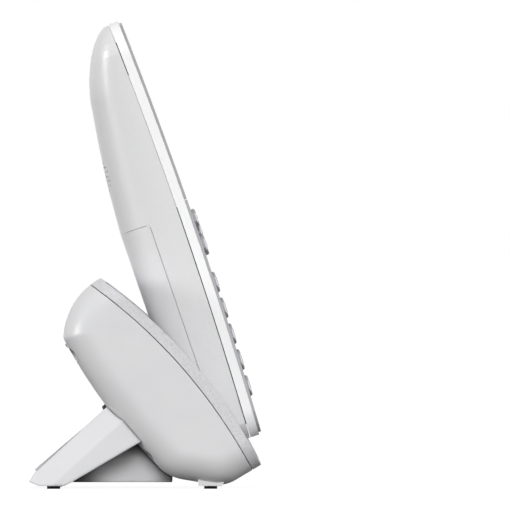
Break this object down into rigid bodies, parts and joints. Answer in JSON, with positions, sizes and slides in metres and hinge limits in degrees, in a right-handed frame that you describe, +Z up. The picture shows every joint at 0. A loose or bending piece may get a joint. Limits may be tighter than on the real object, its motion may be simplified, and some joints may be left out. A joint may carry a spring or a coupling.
{
  "type": "cordless phone with base",
  "caption": "Cordless phone handset with arched face, keys and tapered back, standing in a slanted charging base held up by a clip-on rear stand.",
  "frame": {"origin": "middle of the whole object's box, on the surface that it stands on", "axes": "+Z up, the handset's face and keys look towards -Y, the user's right hand is on +X"},
  "size_m": [0.1, 0.0947, 0.1912],
  "materials": {
    "base_plastic": "fine moulded texture, light grey",
    "cover_plastic": "fine metallic speckle, light grey",
    "stand_plastic": "plain moulded, near white",
    "base_key": "silver paint",
    "bezel_plastic": "polished white",
    "key_plate_metal": "satin silver",
    "lens_plastic": "clear window over a grey print",
    "display_glass": "liquid crystal glass",
    "mat_rubber": "moulded silicone",
    "circuit_board": "green resist",
    "tinned_metal": "tinned",
    "contact_metal": "nickel plate",
    "dark_plastic": "black moulding",
    "clear_lens": "frosted light guide",
    "screw_steel": "zinc plate",
    "foot_rubber": "plain black",
    "rear_plastic": "fine metallic speckle, light grey",
    "door_plastic": "fine metallic speckle, light grey",
    "battery_wrap": "printed film, plain",
    "key_plastic": "silver paint under clear coat"
  },
  "bodies": {
    "base": {"base_lower_shell": "base_plastic", "base_top_cover": "cover_plastic", "base_board": "circuit_board", "base_antenna": "tinned_metal", "base_charge_contacts": "contact_metal", "phone_line_jack": "dark_plastic", "power_jack": "dark_plastic", "status_light": "clear_lens", "base_screws": "screw_steel", "front_feet": "foot_rubber"},
    "stand": {"stand_bracket": "stand_plastic", "rear_feet": "foot_rubber"},
    "find_key": {"find_handset_key": "base_key"},
    "handset": {"handset_front_shell": "bezel_plastic", "key_plate": "key_plate_metal", "display_lens": "lens_plastic", "display_panel": "display_glass", "keypad_mat": "mat_rubber", "handset_board": "circuit_board", "earpiece_speaker": "dark_plastic", "ringer_speaker": "dark_plastic", "handset_microphone": "dark_plastic", "handset_rear_shell": "rear_plastic", "battery_pack": "battery_wrap", "battery_contacts": "contact_metal", "handset_charge_contacts": "contact_metal", "handset_screws": "screw_steel", "handset_antenna": "tinned_metal"},
    "battery_cover": {"battery_door": "door_plastic"},
    "key_1": {"key_1": "key_plastic"},
    "key_2": {"key_2": "key_plastic"},
    "key_3": {"key_3": "key_plastic"},
    "key_4": {"key_4": "key_plastic"},
    "key_5": {"key_5": "key_plastic"},
    "key_6": {"key_6": "key_plastic"},
    "key_7": {"key_7": "key_plastic"},
    "key_8": {"key_8": "key_plastic"},
    "key_9": {"key_9": "key_plastic"},
    "key_star": {"key_star": "key_plastic"},
    "key_0": {"key_0": "key_plastic"},
    "key_pound": {"key_pound": "key_plastic"},
    "speaker_key": {"speaker_key": "key_plastic"},
    "redial_key": {"redial_key": "key_plastic"},
    "hold_key": {"hold_key": "key_plastic"},
    "soft_key_left": {"soft_key_left": "key_plastic"},
    "soft_key_right": {"soft_key_right": "key_plastic"},
    "talk_key": {"talk_key": "key_plastic"},
    "off_key": {"off_key": "key_plastic"},
    "navigation_ring": {"navigation_ring": "key_plastic"},
    "select_key": {"select_key": "key_plastic"}
  },
  "joints": [
    {"name": "handset_lift", "type": "slide", "parent": "base", "child": "handset", "axis": [0, 0.3239, 0.9461], "range_m": [0, 0.08]},
    {"name": "stand_clip", "type": "slide", "parent": "base", "child": "stand", "axis": [0, 0.7559, -0.6547], "range_m": [0, 0.02]},
    {"name": "battery_door_slide", "type": "slide", "parent": "handset", "child": "battery_cover", "axis": [0, -0.3239, -0.9461], "range_m": [0, 0.004]},
    {"name": "find_key_press", "type": "slide", "parent": "base", "child": "find_key", "axis": [0, 0.7559, -0.6547], "range_m": [0, 0.0006], "stiffness_N_per_m": 500},
    {"name": "key_1_press", "type": "slide", "parent": "handset", "child": "key_1", "axis": [0, 0.9503, -0.3113], "range_m": [0, 0.0008], "stiffness_N_per_m": 500},
    {"name": "key_2_press", "type": "slide", "parent": "handset", "child": "key_2", "axis": [0, 0.9503, -0.3113], "range_m": [0, 0.0008], "stiffness_N_per_m": 500},
    {"name": "key_3_press", "type": "slide", "parent": "handset", "child": "key_3", "axis": [0, 0.9503, -0.3113], "range_m": [0, 0.0008], "stiffness_N_per_m": 500},
    {"name": "key_4_press", "type": "slide", "parent": "handset", "child": "key_4", "axis": [0, 0.9521, -0.3057], "range_m": [0, 0.0008], "stiffness_N_per_m": 500},
    {"name": "key_5_press", "type": "slide", "parent": "handset", "child": "key_5", "axis": [0, 0.9521, -0.3057], "range_m": [0, 0.0008], "stiffness_N_per_m": 500},
    {"name": "key_6_press", "type": "slide", "parent": "handset", "child": "key_6", "axis": [0, 0.9521, -0.3057], "range_m": [0, 0.0008], "stiffness_N_per_m": 500},
    {"name": "key_7_press", "type": "slide", "parent": "handset", "child": "key_7", "axis": [0, 0.9539, -0.3001], "range_m": [0, 0.0008], "stiffness_N_per_m": 500},
    {"name": "key_8_press", "type": "slide", "parent": "handset", "child": "key_8", "axis": [0, 0.9539, -0.3001], "range_m": [0, 0.0008], "stiffness_N_per_m": 500},
    {"name": "key_9_press", "type": "slide", "parent": "handset", "child": "key_9", "axis": [0, 0.9539, -0.3001], "range_m": [0, 0.0008], "stiffness_N_per_m": 500},
    {"name": "key_star_press", "type": "slide", "parent": "handset", "child": "key_star", "axis": [0, 0.9557, -0.2945], "range_m": [0, 0.0008], "stiffness_N_per_m": 500},
    {"name": "key_0_press", "type": "slide", "parent": "handset", "child": "key_0", "axis": [0, 0.9557, -0.2945], "range_m": [0, 0.0008], "stiffness_N_per_m": 500},
    {"name": "key_pound_press", "type": "slide", "parent": "handset", "child": "key_pound", "axis": [0, 0.9557, -0.2945], "range_m": [0, 0.0008], "stiffness_N_per_m": 500},
    {"name": "speaker_key_press", "type": "slide", "parent": "handset", "child": "speaker_key", "axis": [0, 0.9574, -0.2889], "range_m": [0, 0.0008], "stiffness_N_per_m": 500},
    {"name": "redial_key_press", "type": "slide", "parent": "handset", "child": "redial_key", "axis": [0, 0.9574, -0.2889], "range_m": [0, 0.0008], "stiffness_N_per_m": 500},
    {"name": "hold_key_press", "type": "slide", "parent": "handset", "child": "hold_key", "axis": [0, 0.9574, -0.2889], "range_m": [0, 0.0008], "stiffness_N_per_m": 500},
    {"name": "soft_key_left_press", "type": "slide", "parent": "handset", "child": "soft_key_left", "axis": [0, 0.9457, -0.3252], "range_m": [0, 0.0008], "stiffness_N_per_m": 500},
    {"name": "soft_key_right_press", "type": "slide", "parent": "handset", "child": "soft_key_right", "axis": [0, 0.9457, -0.3252], "range_m": [0, 0.0008], "stiffness_N_per_m": 500},
    {"name": "talk_key_press", "type": "slide", "parent": "handset", "child": "talk_key", "axis": [0, 0.9476, -0.3194], "range_m": [0, 0.0008], "stiffness_N_per_m": 500},
    {"name": "off_key_press", "type": "slide", "parent": "handset", "child": "off_key", "axis": [0, 0.9476, -0.3194], "range_m": [0, 0.0008], "stiffness_N_per_m": 500},
    {"name": "select_key_press", "type": "slide", "parent": "handset", "child": "select_key", "axis": [0, 0.9467, -0.322], "range_m": [0, 0.0008], "stiffness_N_per_m": 500},
    {"name": "navigation_rock", "type": "hinge", "parent": "handset", "child": "navigation_ring", "pos_m": [0, -0.01814, 0.10325], "axis": [1, 0, 0], "range_deg": [-2.5, 2.5], "stiffness_Nm_per_rad": 0.2}
  ]
}
